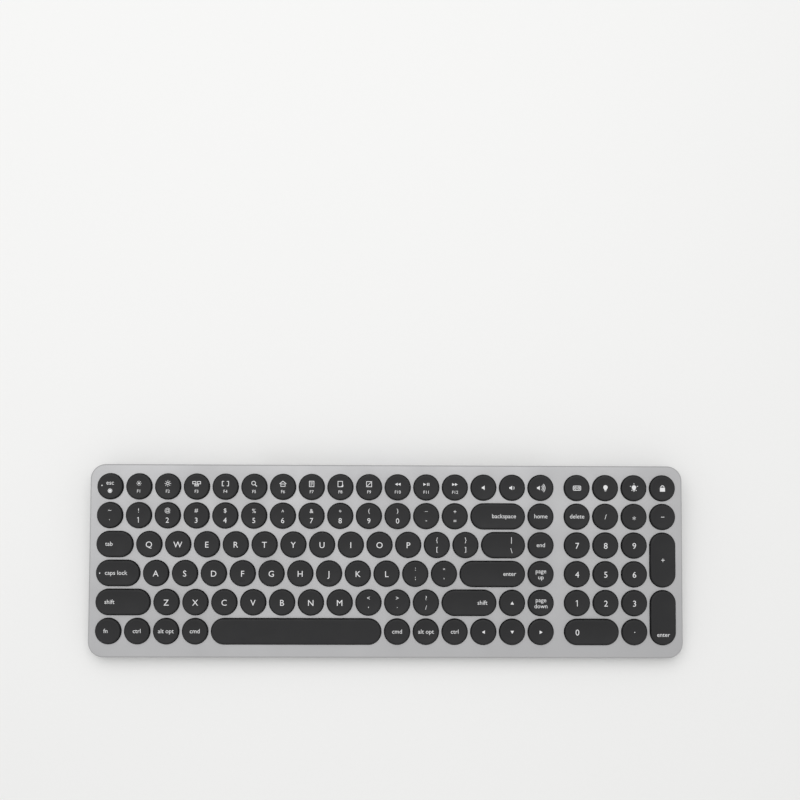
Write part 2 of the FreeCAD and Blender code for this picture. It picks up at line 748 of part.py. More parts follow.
def make_main_board():
    """The circuit board behind the sockets, cleared round the case screws' bosses."""
    top = SOCKET_FLOOR
    thick = mm("board_thickness")
    rear = REAR_FACE - mm("wall") - BOARD_REAR_GAP
    board = bar(-mm("board_left"), mm("board_right"), mm("board_front"), rear, top - thick, top)
    upright = [e for e in board.Edges if abs(e.BoundBox.ZLength - thick) < 1e-6]
    board = board.makeFillet(1.5, upright)
    for place in SCREW_SPOTS:
        x, y = spot(*place)
        foot = deck_placement(-mm("screw_seat")).multVec(FreeCAD.Vector(x.number, y.number, 0))
        board = board.cut(Part.makeCylinder(mm("boss_radius") + 1.0, 10, FreeCAD.Vector(foot.x, foot.y, 0)))
    for x, y in BOARD_SCREWS:
        board = board.cut(Part.makeCylinder(mm("pilot_radius") + 0.1, 20, FreeCAD.Vector(x, y, 0)))
    solid_part("main_board", board)


# Parts soldered to the board: (x, y, length along x, width along y, height).
CHIPS = (
    (-45.0, 36.0, 9.0, 9.0, 0.9),
    (-14.0, 34.0, 7.0, 7.0, 0.9),
    (92.0, 40.0, 8.0, 8.0, 0.9),
    (-68.0, 47.0, 5.0, 5.0, 0.8),
    (58.0, 39.0, 6.0, 6.0, 0.8),
    (-112.0, 48.0, 7.0, 7.0, 0.9),
    (-56.0, 48.0, 5.2, 5.0, 2.4),
    (-30.0, 40.0, 3.2, 2.5, 0.8),
    (0.0, 40.0, 3.2, 2.5, 0.8),
    (78.0, 34.0, 3.2, 2.5, 0.8),
    (36.0, 33.0, 4.0, 4.0, 2.0),
    (-90.0, 50.0, 4.0, 4.0, 2.0),
)
RIBBON_X = -124.0
RIBBON_WIDE = 12.0
CONNECTOR_Y = 47.0


def make_chips():
    """Hub, display and card controllers, power parts, and the connector that takes the ribbon."""
    blocks = []
    for x, y, long, wide, high in CHIPS:
        low = SOCKET_FLOOR + 0.05
        blocks.append(bar(x - long / 2, x + long / 2, y - wide / 2, y + wide / 2, low, low + high))
    half = RIBBON_WIDE / 2 + 1.2
    connector = bar(RIBBON_X - half, RIBBON_X + half, CONNECTOR_Y, CONNECTOR_Y + 5, SOCKET_FLOOR + 0.05,
                    SOCKET_FLOOR + 2.05)
    slot_half = RIBBON_WIDE / 2 + 0.2
    slot = bar(RIBBON_X - slot_half, RIBBON_X + slot_half, CONNECTOR_Y + 1, CONNECTOR_Y + 5.1,
               SOCKET_FLOOR + 0.9, SOCKET_FLOOR + 1.3)
    blocks.append(connector.cut(slot))
    solid_part("board_chips", Part.Compound(blocks))


def make_ribbon():
    """Flat cable from the rear edge of the membrane, round and down to the board's connector."""
    thick = 0.2
    tail = deck_placement(-mm("stack_top") - mm("membrane_thickness") / 2)
    start = tail.multVec(FreeCAD.Vector(0, mm("case_depth") - mm("stack_rear_gap") + 0.02, 0))
    end = FreeCAD.Vector(0, CONNECTOR_Y + 1.2, SOCKET_FLOOR + 1.1)
    radius = (start.z - end.z) / 2
    turn = start.y + 0.2
    points = [(start.y, start.z), (turn, start.z), (turn + radius * 0.42, start.z - radius), (turn, end.z),
              (end.y, end.z)]
    # The bend is flattened to half its height, so that it stays clear of the rear wall.
    bend = Part.Arc(*(FreeCAD.Vector(RIBBON_X, y, z) for y, z in points[1:4])).toShape()
    first, last = (FreeCAD.Vector(RIBBON_X, *points[n]) for n in (0, 4))
    path = Part.Wire([Part.makeLine(first, bend.Vertexes[0].Point), bend,
                      Part.makeLine(bend.Vertexes[-1].Point, last)])
    half = RIBBON_WIDE / 2
    corners = [(-half, -thick / 2), (half, -thick / 2), (half, thick / 2), (-half, thick / 2)]
    profile = Part.makePolygon([first + FreeCAD.Vector(x, 0, z) for x, z in corners + corners[:1]])
    ribbon = path.makePipeShell([profile], True, False, 1)
    solid_part("ribbon_cable", ribbon)


def screw(length):
    """A cross-head screw standing on its point: the head's top face is at the origin, shank down."""
    head_radius, head_height = mm("screw_head_radius"), mm("screw_head_height")
    head = Part.makeCylinder(head_radius, head_height, FreeCAD.Vector(0, 0, -head_height))
    head = head.makeFillet(0.35, [e for e in head.Edges if at_height(e, 0.0)])
    shank = Part.makeCylinder(mm("screw_radius"), length, FreeCAD.Vector(0, 0, -head_height - length))
    made = head.fuse(shank).removeSplitter()
    for turn in (0, 90):
        slot = bar(-1.1, 1.1, -0.2, 0.2, -0.6, 1)
        slot.rotate(FreeCAD.Vector(0, 0, 0), FreeCAD.Vector(0, 0, 1), turn)
        made = made.cut(slot)
    return made


def make_screws():
    """Eight case screws driven up through the bosses, and five that hold the board down."""
    solids = []
    case_screw = screw(mm("screw_length"))
    case_screw.rotate(FreeCAD.Vector(0, 0, 0), FreeCAD.Vector(1, 0, 0), 180)
    for place in SCREW_SPOTS:
        x, y = spot(*place)
        fixed = case_screw.translated(
            FreeCAD.Vector(x.number, y.number, -mm("screw_seat") - mm("screw_head_height") - 0.02)
        )
        fixed.Placement = deck_placement() * fixed.Placement
        solids.append(fixed)
    board_screw = screw(mm("board_screw_length"))
    head_top = SOCKET_FLOOR + mm("screw_head_height") + 0.02
    for x, y in BOARD_SCREWS:
        solids.append(board_screw.translated(FreeCAD.Vector(x, y, head_top)))
    solid_part("screws", Part.Compound(solids))


# ------------------------------------------------------------------ the whole keyboard

make_top_case()
make_keys()
stack = mm("stack_top")
make_sheet("membrane_sheet", stack, dim("membrane_thickness"))
stack += mm("membrane_thickness")
make_sheet("support_plate", stack, dim("plate_thickness"), dim("light_hole_radius"))
stack += mm("plate_thickness")
make_sheet("light_guide", stack, dim("light_guide_thickness"))
make_domes()
make_scissors()
make_stabilisers()
make_bottom_cover()
make_port_panel()
make_feet()
make_sockets()
make_main_board()
make_chips()
make_ribbon()
make_screws()
DOC.recompute()


def write_parts():
    """Checks every object, then writes one STEP file for each node."""
    bad = [o.Name for o in DOC.Objects if "Invalid" in o.State or "Error" in o.State]
    if bad:
        raise RuntimeError(f"these objects failed: {bad}")
    os.makedirs("parts", exist_ok=True)
    for old in os.listdir("parts"):
        os.remove(os.path.join("parts", old))
    nodes = [o for o in DOC.Objects if o.TypeId in ("PartDesign::Body", "Part::Feature")]
    for node in nodes:
        shape = node.Shape
        if shape.isNull() or not shape.isValid() or not shape.Solids:
            raise RuntimeError(f"{node.Label} has no valid solid")
        shape.exportStep(os.path.join("parts", node.Label + ".step"))
        print(f"{node.Label:26s} {len(shape.Solids):4d} solids {shape.Volume:12.2f} mm3")
    print(len(nodes), "nodes")


write_parts()
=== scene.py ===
import json
import math

import bmesh
import bpy
import numpy as np
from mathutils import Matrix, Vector, geometry


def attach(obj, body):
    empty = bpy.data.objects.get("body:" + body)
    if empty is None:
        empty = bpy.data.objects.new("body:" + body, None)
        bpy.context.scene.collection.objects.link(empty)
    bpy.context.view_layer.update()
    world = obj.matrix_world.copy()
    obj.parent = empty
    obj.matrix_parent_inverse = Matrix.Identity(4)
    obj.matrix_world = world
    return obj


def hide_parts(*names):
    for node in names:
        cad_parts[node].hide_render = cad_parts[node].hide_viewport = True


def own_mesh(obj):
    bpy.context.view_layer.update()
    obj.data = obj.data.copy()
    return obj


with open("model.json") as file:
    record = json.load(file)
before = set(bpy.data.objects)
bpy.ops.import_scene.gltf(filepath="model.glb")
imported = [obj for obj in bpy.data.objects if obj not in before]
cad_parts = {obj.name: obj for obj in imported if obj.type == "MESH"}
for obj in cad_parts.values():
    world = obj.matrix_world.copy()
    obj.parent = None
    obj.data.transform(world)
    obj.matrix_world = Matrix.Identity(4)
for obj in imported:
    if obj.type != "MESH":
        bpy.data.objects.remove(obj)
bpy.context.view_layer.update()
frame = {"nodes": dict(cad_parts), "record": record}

# A full-size keyboard that is also a USB hub. Shapes are worked out in millimetres. Keys, deck and
# what lies under them use the deck frame: origin at the front left corner of the deck's top face,
# x to the right, y up the slope to the rear, z out of the deck.

MM = 0.001
SAME_PLACE = 1e-6  # points nearer than this, in the units at hand, are one point
CREASE = 32.0  # degrees: faces that meet at more than this keep a sharp edge
PITCH = 19.05
CASE_WIDTH, CASE_DEPTH, CASE_CORNER = 394.0, 127.3, 10.0
LEFT_MARGIN, REAR_MARGIN = 13.45, 14.7
SLOPE = math.radians(4.5)
DECK_HEIGHT = 14.8  # of the deck's top face, half way up the slope
DECK_THICKNESS = 1.5
SKIRT_DEPTH = 5.0
WALL = 1.8
MEMBRANE_DROP = 3.9  # the domes stand this far below the deck's top face

LEAN = SKIRT_DEPTH * math.sin(SLOPE) / 2
REAR_FACE = CASE_DEPTH / 2 * math.cos(SLOPE) + LEAN
CORNER_AT = np.array([-CASE_WIDTH / 2, -REAR_FACE, DECK_HEIGHT - CASE_DEPTH / 2 * math.sin(SLOPE)])
DECK_AXES = np.array([
    [1, 0, 0],
    [0, math.cos(SLOPE), math.sin(SLOPE)],
    [0, -math.sin(SLOPE), math.cos(SLOPE)],
])


def on_deck(points):
    """Deck frame in mm to the row frame in metres: the slope's turn, then the corner's place."""
    return (points @ DECK_AXES + CORNER_AT) * MM


# ------------------------------------------------------------------ surfaces


def outline(x, y, half_x=0.0, half_y=0.0, steps=48):
    """The centres and outward directions of a rounded outline about x, y, anticlockwise.

    Four quarter turns have their centres at the corners (x +- half_x, y +- half_y). With half_y zero
    it is a slot, and with both zero a circle. A point is its centre plus a radius times its direction.
    """
    quarter = np.linspace(0, np.pi / 2, steps // 4 + 1)
    angle = np.concatenate([quarter + np.pi / 2 * k for k in range(4)])
    side_x = np.repeat([1, -1, -1, 1], len(quarter))
    side_y = np.repeat([1, 1, -1, -1], len(quarter))
    centres = np.stack([x + half_x * side_x, y + half_y * side_y], -1)
    return centres, np.stack([np.cos(angle), np.sin(angle)], -1)


def carried(around, profile, cap_first=False, cap_last=False):
    """A profile of (radius, height) pairs carried round an outline: vertices and faces.

    Point (i, j) is centre j plus radius i times direction j, at height i. A capped end closes in
    on the mean of the outline's centres.
    """
    centres, directions = around
    radius, height = np.array(profile, float).T
    flat = centres[None] + radius[:, None, None] * directions[None]
    grid = np.concatenate([flat, np.broadcast_to(height[:, None, None], flat.shape[:2] + (1,))], -1)
    for wanted, row in ((cap_first, 0), (cap_last, -1)):
        if wanted:
            middle = np.append(centres.mean(0), height[row])
            end = np.broadcast_to(middle, (1,) + grid.shape[1:])
            grid = np.concatenate([end, grid] if row == 0 else [grid, end])
    rows, columns = grid.shape[:2]
    index = np.arange(rows * columns).reshape(rows, columns)
    index = np.hstack([index, index[:, :1]])
    quads = np.stack([index[:-1, :-1], index[:-1, 1:], index[1:, 1:], index[1:, :-1]], -1)
    return grid.reshape(-1, 3), quads.reshape(-1, 4)


def arc(radius, height, bend, start, end, steps=5):
    """Profile points on a quarter bend: (radius, height) plus bend times (cos, sin) of the angle."""
    angle = np.radians(np.linspace(start, end, steps))
    return [(radius + bend * math.cos(a), height + bend * math.sin(a)) for a in angle]


def slab(x0, x1, y0, y1, z0, z1, corner, edge, steps=16):
    """A block: a profile with a small bend below and above, carried round a plan with round corners."""
    around = outline((x0 + x1) / 2, (y0 + y1) / 2, (x1 - x0) / 2 - corner, (y1 - y0) / 2 - corner, steps)
    lower = arc(corner - edge, z0 + edge, edge, -90, 0, 3)
    upper = arc(corner - edge, z1 - edge, edge, 0, 90, 3)
    return carried(around, lower + upper, cap_first=True, cap_last=True)


def gathered(surfaces):
    """Several surfaces as one: their vertices in a row, and their faces' numbers moved on to match."""
    faces, first = [], 0
    for vertices, polygons in surfaces:
        if isinstance(polygons, np.ndarray):
            faces += (polygons + first).tolist()
        else:
            faces += [[corner + first for corner in face] for face in polygons]
        first += len(vertices)
    return np.concatenate([vertices for vertices, _ in surfaces]), faces


def piece(name, surfaces, place, material, body, stands_for=()):
    """Makes one object that rides on a body, from surfaces in mm and the frame that they are in."""
    points, faces = gathered(surfaces)
    mesh = bpy.data.meshes.new(name)
    mesh.from_pydata(place(points).tolist(), [], faces)
    work = bmesh.new()
    work.from_mesh(mesh)
    bmesh.ops.remove_doubles(work, verts=work.verts, dist=SAME_PLACE)
    bmesh.ops.recalc_face_normals(work, faces=work.faces)
    work.to_mesh(mesh)
    work.free()
    mesh.shade_smooth()
    mesh.set_sharp_from_angle(angle=math.radians(CREASE))
    mesh.materials.append(material)
    made = bpy.data.objects.new(name, mesh)
    bpy.context.scene.collection.objects.link(made)
    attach(made, body)
    if stands_for:
        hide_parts(*stands_for)
    return made


# ------------------------------------------------------------------ materials

# The real grain of these moulded, printed, plated and blasted surfaces is 0.05 to 0.2 mm. It is drawn
# at 0.2 to 0.6 mm, so that it shows.

GRAIN_SHARE = 0.35  # of a surface's change of tone, the part that follows its grain


def linear(tone):
    """An sRGB hex colour as linear red, green, blue and alpha."""
    parts = [int(tone[k:k + 2], 16) / 255 for k in (1, 3, 5)]
    return tuple(c / 12.92 if c <= 0.04045 else ((c + 0.055) / 1.055) ** 2.4 for c in parts) + (1.0,)


def add(tree, kind, inputs=None, **settings):
    """Adds a node. Inputs go by name or number: a socket is linked, and a value is set."""
    made = tree.nodes.new(kind)
    for key, value in settings.items():
        setattr(made, key, value)
    for key, value in (inputs or {}).items():
        if isinstance(value, bpy.types.NodeSocket):
            tree.links.new(value, made.inputs[key])
        else:
            made.inputs[key].default_value = value
    return made


def blank(name):
    """A new material with its node tree, its shader and the Object coordinates."""
    material = bpy.data.materials.new(name)
    material.use_nodes = True
    tree = material.node_tree
    tree.nodes.clear()
    shader = add(tree, "ShaderNodeBsdfPrincipled")
    add(tree, "ShaderNodeOutputMaterial", {"Surface": shader.outputs[0]})
    return material, tree, shader, add(tree, "ShaderNodeTexCoord").outputs["Object"]


def two_tone(tree, share, first, second):
    """A colour between two hex tones, by a share from 0 to 1."""
    mixed = add(tree, "ShaderNodeMix", {0: share, 6: linear(first), 7: linear(second)}, data_type="RGBA")
    return mixed.outputs[2]


def grained(name, tones, grain, relief, rough, metallic=0.0, ior=1.5, stretch=(1, 1, 1), blotch=30.0,
            **more):
    """A surface with a fine grain (its size and relief in mm) over a slow change of tone.

    The grain is fractal noise that drives the bump and the spread of roughness. The tone follows a
    second noise, blotch mm across, with a little of the grain mixed in. stretch draws the grain out.
    A metal keeps the default IOR.
    """
    material, tree, shader, where = blank(name)
    turned = add(tree, "ShaderNodeMapping", {"Vector": where, "Scale": stretch})
    fine = add(tree, "ShaderNodeTexNoise", {
        "Vector": turned.outputs[0], "Scale": 1 / (grain * MM), "Detail": 3.0})
    slow = add(tree, "ShaderNodeTexNoise", {"Vector": where, "Scale": 1 / (blotch * MM), "Detail": 2.0})
    share = add(tree, "ShaderNodeMix", {0: GRAIN_SHARE, 2: slow.outputs[0], 3: fine.outputs[0]},
                data_type="FLOAT")
    spread = add(tree, "ShaderNodeMapRange", {
        "Value": share.outputs[0], "From Min": 0.3, "From Max": 0.7, "To Min": rough[0], "To Max": rough[1]})
    bump = add(tree, "ShaderNodeBump", {"Height": fine.outputs[0], "Distance": relief * MM, "Strength": 1.0})
    tree.links.new(two_tone(tree, share.outputs[0], *tones), shader.inputs["Base Color"])
    tree.links.new(spread.outputs[0], shader.inputs["Roughness"])
    tree.links.new(bump.outputs[0], shader.inputs["Normal"])
    shader.inputs["Metallic"].default_value = metallic
    if not metallic:
        shader.inputs["IOR"].default_value = ior
    for key, value in more.items():
        shader.inputs[key.replace("_", " ")].default_value = value
    return material


# Aluminium, bead-blasted and anodised grey: a soft satin metal with a very fine sparkle.
ANODISED = grained("anodised_aluminium", ("#bebebf", "#b3b3b4"), 0.22, 0.012, (0.44, 0.56), metallic=1.0)
# ABS moulded in a spark-eroded tool: nearly black, with a dry, even grain and no clear highlight.
KEY_ABS = grained("moulded_key_abs", ("#0e0e10", "#161618"), 0.35, 0.05, (0.48, 0.62), ior=1.53,
                  blotch=9.0, Specular_IOR_Level=0.4)
# Pad-printed epoxy ink: a thin opaque white film, slightly duller than the plastic under it.
LEGEND_INK = grained("printed_epoxy_ink", ("#e9e9ea", "#dcdcdd"), 0.2, 0.004, (0.5, 0.6), blotch=6.0)
# ABS with a fine moulded texture in a neutral mid grey: matte, with soft broad highlights.
SHELL_ABS = grained("moulded_shell_abs", ("#8c8c8e", "#989899"), 0.5, 0.03, (0.5, 0.65), ior=1.53)
# Polycarbonate strip, moulded with a fine texture: black, a little glossier than the shell beside it.
PORT_PC = grained("moulded_port_polycarbonate", ("#161617", "#202021"), 0.3, 0.015, (0.38, 0.5), ior=1.58)
# Nickel-plated steel sheet, drawn and folded: bright, with fine lines along the draw.
SOCKET_STEEL = grained("nickel_plated_steel", ("#d3d2ce", "#bdbbb6"), 0.25, 0.006, (0.22, 0.36), metallic=1.0,
                       stretch=(1, 0.06, 1), blotch=8.0)
# Liquid crystal polymer, moulded: the dry, flow-marked insulator in each socket, and its blue grade.
INSULATOR = grained("moulded_lcp_insulator", ("#1d1d1f", "#2a2a2c"), 0.4, 0.01, (0.45, 0.6), ior=1.6)
BLUE_INSULATOR = grained("moulded_blue_insulator", ("#1f4f9e", "#2a5eb2"), 0.4, 0.01, (0.4, 0.55), ior=1.6)
# Gold flash over nickel on the socket contacts: a bright warm spot in a dark mouth.
GOLD = grained("gold_flashed_contact", ("#e2b95f", "#cfa24a"), 0.2, 0.003, (0.2, 0.3), metallic=1.0,
               blotch=3.0)
# Silicone rubber, cast: milky and soft-edged, because some light passes through it.
SILICONE = grained("cast_silicone_rubber", ("#b9bcc1", "#a4a8ae"), 0.3, 0.008, (0.45, 0.6), ior=1.41,
                   Subsurface_Weight=0.2, Subsurface_Scale=0.002)
# Acetal, moulded: waxy and slightly off-white.
ACETAL = grained("moulded_acetal", ("#d8d6cf", "#c8c6be"), 0.3, 0.008, (0.35, 0.5), ior=1.48)


# ------------------------------------------------------------------ the key layout and its legends

LETTER_ROWS = ("qwertyuiop", "asdfghjkl", "zxcvbnm")
MAIN_ROWS = (
    [("escape", 1)] + [(f"f{n}", 1) for n in range(1, 13)] + [("mute", 1), ("quieter", 1), ("louder", 1)],
    [(name, 1) for name in ("backquote", *"1234567890", "minus", "equals")] + [("backspace", 2), ("home", 1)],
    [("tab", 1.375)] + [(c, 1) for c in LETTER_ROWS[0]]
    + [("left_bracket", 1), ("right_bracket", 1), ("backslash", 1.625), ("end", 1)],
    [("caps_lock", 1.625)] + [(c, 1) for c in LETTER_ROWS[1]]
    + [("semicolon", 1), ("quote", 1), ("enter", 2.375), ("page_up", 1)],
    [("left_shift", 2)] + [(c, 1) for c in LETTER_ROWS[2]]
    + [("comma", 1), ("period", 1), ("slash", 1), ("right_shift", 2), ("up", 1), ("page_down", 1)],
    [(name, 1) for name in ("function", "left_control", "left_option", "left_command")] + [("space", 6)]
    + [(name, 1) for name in ("right_command", "right_option", "right_control", "left", "down", "right")],
)
KEYPAD = (
    ("calculator", 0, 0, 1, 1), ("dimmer", 1, 0, 1, 1), ("brighter", 2, 0, 1, 1), ("lock", 3, 0, 1, 1),
    ("pad_delete", 0, 1, 1, 1), ("pad_divide", 1, 1, 1, 1), ("pad_multiply", 2, 1, 1, 1),
    ("pad_subtract", 3, 1, 1, 1), ("pad_7", 0, 2, 1, 1), ("pad_8", 1, 2, 1, 1), ("pad_9", 2, 2, 1, 1),
    ("pad_plus", 3, 2, 1, 2), ("pad_4", 0, 3, 1, 1), ("pad_5", 1, 3, 1, 1), ("pad_6", 2, 3, 1, 1),
    ("pad_1", 0, 4, 1, 1), ("pad_2", 1, 4, 1, 1), ("pad_3", 2, 4, 1, 1), ("pad_enter", 3, 4, 1, 2),
    ("pad_0", 0, 5, 2, 1), ("pad_point", 2, 5, 1, 1),
)
KEYPAD_GAP = 0.27


def lay_out():
    """Every key's centre in the deck frame, and half the length between its two end centres."""
    cells = []
    for row, names in enumerate(MAIN_ROWS):
        left = -0.5
        for name, wide in names:
            cells.append((name, left + wide / 2, row, wide, 1))
            left += wide
    for name, column, row, wide, tall in KEYPAD:
        across = len(MAIN_ROWS[0]) + KEYPAD_GAP + column + (wide - 1) / 2
        cells.append((name, across, row + (tall - 1) / 2, wide, tall))
    return [
        {
            "name": name,
            "x": LEFT_MARGIN + PITCH * across,
            "y": CASE_DEPTH - REAR_MARGIN - PITCH * down,
            "half_x": PITCH * (wide - 1) / 2,
            "half_y": PITCH * (tall - 1) / 2,
            "row": down,
        }
        for name, across, down, wide, tall in cells
    ]


def node_of(key):
    """The CAD node that a key is part of."""
    name = key["name"]
    if (len(name) == 1 and name.isalpha()) or key["half_x"] or key["half_y"]:
        return "key_" + name
    if key["row"] == 0:
        return "function_keys"
    if name.startswith("pad_"):
        return "keypad_keys"
    if name in ("home", "end", "page_up", "page_down", "up") or key["row"] == 5:
        return "modifier_and_arrow_keys"
    return "number_and_symbol_keys"


KEYS = lay_out()
KEY_NODES = {}
for key in KEYS:
    KEY_NODES.setdefault(node_of(key), []).append(key)
BODY_OF = {node: body for body, nodes in frame["record"]["behaviour"]["bodies"].items() for node in nodes}

WORD, SYMBOL, DIGIT, LETTER, FUNCTION = 2.9, 2.9, 3.6, 4.1, 2.1  # capital heights in mm
END = 2.6  # a word that starts or ends at a wide key's end reaches this far past the end's centre
UPPER, LOWER = 3.2, -3.0  # where the two signs of a key with a pair sit, from its centre
PICTURE = 2.1  # how far above its centre a function key has its picture
PAIRS = {
    "backquote": "~`", "1": "!1", "2": "@2", "3": "#3", "4": "$4", "5": "%5", "6": "^6", "7": "&7", "8": "*8",
    "9": "(9", "0": ")0", "minus": "_-", "equals": "+=", "left_bracket": "{[", "right_bracket": "}]",
    "semicolon": ":;", "quote": "\"'", "comma": "<,", "period": ">.", "slash": "?/",
}
WORDS = {
    "home": "home", "end": "end", "left_control": "ctrl", "right_control": "ctrl", "left_option": "alt opt",
    "right_option": "alt opt", "left_command": "cmd", "right_command": "cmd", "pad_delete": "delete",
}


def texts_on(key):
    """What is printed on a key in letters: (text, x, y, capital height, alignment), from its centre."""
    name, end = key["name"], key["half_x"] + END
    if len(name) == 1 and name.isalpha():
        return [(name.upper(), 0, 0, LETTER, "CENTER")]
    if name in PAIRS:
        lower = DIGIT if PAIRS[name][1].isdigit() else SYMBOL
        return [(PAIRS[name][0], 0, UPPER, SYMBOL, "CENTER"), (PAIRS[name][1], 0, LOWER, lower, "CENTER")]
    if name in WORDS:
        return [(WORDS[name], 0, 0, WORD, "CENTER")]
    if name[0] == "f" and name[1:].isdigit():
        return [(name.upper(), 0, LOWER, FUNCTION, "CENTER")]
    if name.startswith("pad_") and name[4:].isdigit():
        return [(name[4:], -key["half_x"], 0, LETTER, "CENTER")]
    return {
        "escape": [("esc", 0, 2.2, WORD, "CENTER")],
        "tab": [("tab", -end, 0, WORD, "LEFT")],
        "caps_lock": [("caps lock", -end, 0, WORD, "LEFT")],
        "left_shift": [("shift", -end, 0, WORD, "LEFT")],
        "right_shift": [("shift", end, 0, WORD, "RIGHT")],
        "enter": [("enter", end, 0, WORD, "RIGHT")],
        "backspace": [("backspace", end, 0, WORD, "RIGHT")],
        "backslash": [(sign, key["half_x"] - 0.5, y, 3.4, "CENTER")
                      for sign, y in (("|", 3.3), ("\\", -3.5))],
        "function": [("fn", -1.4, 0, WORD, "CENTER")],
        "page_up": [("page", 0, 1.8, WORD, "CENTER"), ("up", 0, -2.2, WORD, "CENTER")],
        "page_down": [("page", 0, 1.8, WORD, "CENTER"), ("down", 0, -2.2, WORD, "CENTER")],
        "pad_divide": [("/", 0, 0, 3.4, "CENTER")],
        "pad_multiply": [("*", 0, -0.8, 4.0, "CENTER")],
        "pad_plus": [("+", 0, 0, 3.4, "CENTER")],
        "pad_point": [(".", 0, 0, 4.0, "CENTER")],
        "pad_enter": [("enter", 0, -key["half_y"] - 1.8, WORD, "CENTER")],
    }.get(name, [])


CAPITAL_SHARE = 0.73  # of the letter size, the height of a capital
SMALL_SHARE = 0.53  # of the letter size, the height of a small letter


def one(x, y, height):
    """The figure one: an upright with a short flag, whose ends are cut square."""
    top, low = y + height / 2, y - height / 2
    flag = line(x - 0.25 * height, top - 0.2 * height, x, top - 0.04 * height, 0.1 * height)
    return [line(x, low, x, top, 0.11 * height), flag]


def lettering(text, x, y, height, align):
    """A word as flat faces, in mm about the key's centre, its letters' middle at y."""
    size = height / CAPITAL_SHARE
    curve = bpy.data.curves.new("lettering", "FONT")
    curve.body, curve.size, curve.align_x = text, size, align
    curve.resolution_u = 3
    holder = bpy.data.objects.new("lettering", curve)
    mesh = bpy.data.meshes.new_from_object(holder)
    points = np.zeros(len(mesh.vertices) * 3)
    mesh.vertices.foreach_get("co", points)
    points = points.reshape(-1, 3)[:, :2]
    faces = [list(polygon.vertices) for polygon in mesh.polygons]
    bpy.data.objects.remove(holder)
    bpy.data.curves.remove(curve)
    bpy.data.meshes.remove(mesh)
    if text.islower() and len(text) > 1:
        middle = SMALL_SHARE * size / 2
    elif len(text) > 1 or text.isalnum():
        middle = height / 2
    else:
        middle = (points[:, 1].min() + points[:, 1].max()) / 2
    return points + [x, y - middle], faces


def disc(x, y, radius, steps=20):
    """A filled round: x, y plus the radius times (cos, sin) of evenly spaced angles."""
    angle = np.linspace(0, 2 * np.pi, steps, endpoint=False)
    return np.stack([x + radius * np.cos(angle), y + radius * np.sin(angle)], -1), [list(range(steps))]


def bend(x, y, radius, start=0.0, end=360.0, width=0.4, steps=20):
    """An arc of a band about x, y: two rows of points at half the width inside and outside."""
    angle = np.radians(np.linspace(start, end, steps + 1))
    radii = (radius - width / 2, radius + width / 2)
    rows = [np.stack([x + r * np.cos(angle), y + r * np.sin(angle)], -1) for r in radii]
    n = np.arange(steps)
    return np.concatenate(rows), np.stack([n, n + steps + 1, n + steps + 2, n + 1], -1)


def line(x0, y0, x1, y1, width=0.4):
    """A straight stroke: its two ends moved half the width to each side."""
    along = np.array([x1 - x0, y1 - y0], float)
    aside = np.array([-along[1], along[0]]) / np.linalg.norm(along) * width / 2
    a, b = np.array([x0, y0]), np.array([x1, y1])
    return np.stack([a - aside, b - aside, b + aside, a + aside]), [[0, 1, 2, 3]]


def shape(*corners):
    """A filled outline through its corners."""
    return np.array(corners, float), [list(range(len(corners)))]


def frame_lines(x0, y0, x1, y1, width=0.4):
    """A rectangle drawn in line: an outer and an inner ring of four corners."""
    half = width / 2
    rings = [[(x0 - s, y0 - s), (x1 + s, y0 - s), (x1 + s, y1 + s), (x0 - s, y1 + s)] for s in (-half, half)]
    faces = [[k, k + 4, (k + 1) % 4 + 4, (k + 1) % 4] for k in range(4)]
    return np.array(rings[0] + rings[1], float), faces


def rounded_frame(half_x, half_y, corner, width):
    """A rounded rectangle drawn in line: four straight strokes, and a quarter bend between each two."""
    flat_x, flat_y = half_x - corner, half_y - corner
    strokes = [line(-flat_x, s * half_y, flat_x, s * half_y, width) for s in (1, -1)]
    strokes += [line(s * half_x, -flat_y, s * half_x, flat_y, width) for s in (-1, 1)]
    for side_x, side_y, turn in ((-1, 1, 90), (1, 1, 0), (-1, -1, 180), (1, -1, 270)):
        strokes.append(bend(side_x * flat_x, side_y * flat_y, corner, turn, turn + 90, width, 5))
    return strokes


def rays(x, y, inner, outer, count, width=0.35, start=0.0):
    """Short strokes that point away from x, y, from the inner radius to the outer one."""
    turns = [start + 2 * math.pi * k / count for k in range(count)]
    ways = [(math.cos(turn), math.sin(turn)) for turn in turns]
    return [line(x + inner * c, y + inner * s, x + outer * c, y + outer * s, width) for c, s in ways]


def speaker(x):
    """A loudspeaker seen from the side: a small box that opens into a cone."""
    upper = [(x + 0.4, 1.5), (x - 0.8, 0.6), (x - 1.5, 0.6)]
    return [shape((x - 1.5, -0.6), (x - 0.8, -0.6), (x + 0.4, -1.5), *upper)]


def bulb():
    """A lamp bulb: a round, its tapered neck and the cap below it."""
    return [disc(0, 0.6, 1.45, 28), shape((-0.7, -1.3), (0.7, -1.3), (0.95, -0.5), (-0.95, -0.5)),
            line(-0.6, -1.75, 0.6, -1.75, 0.4)]


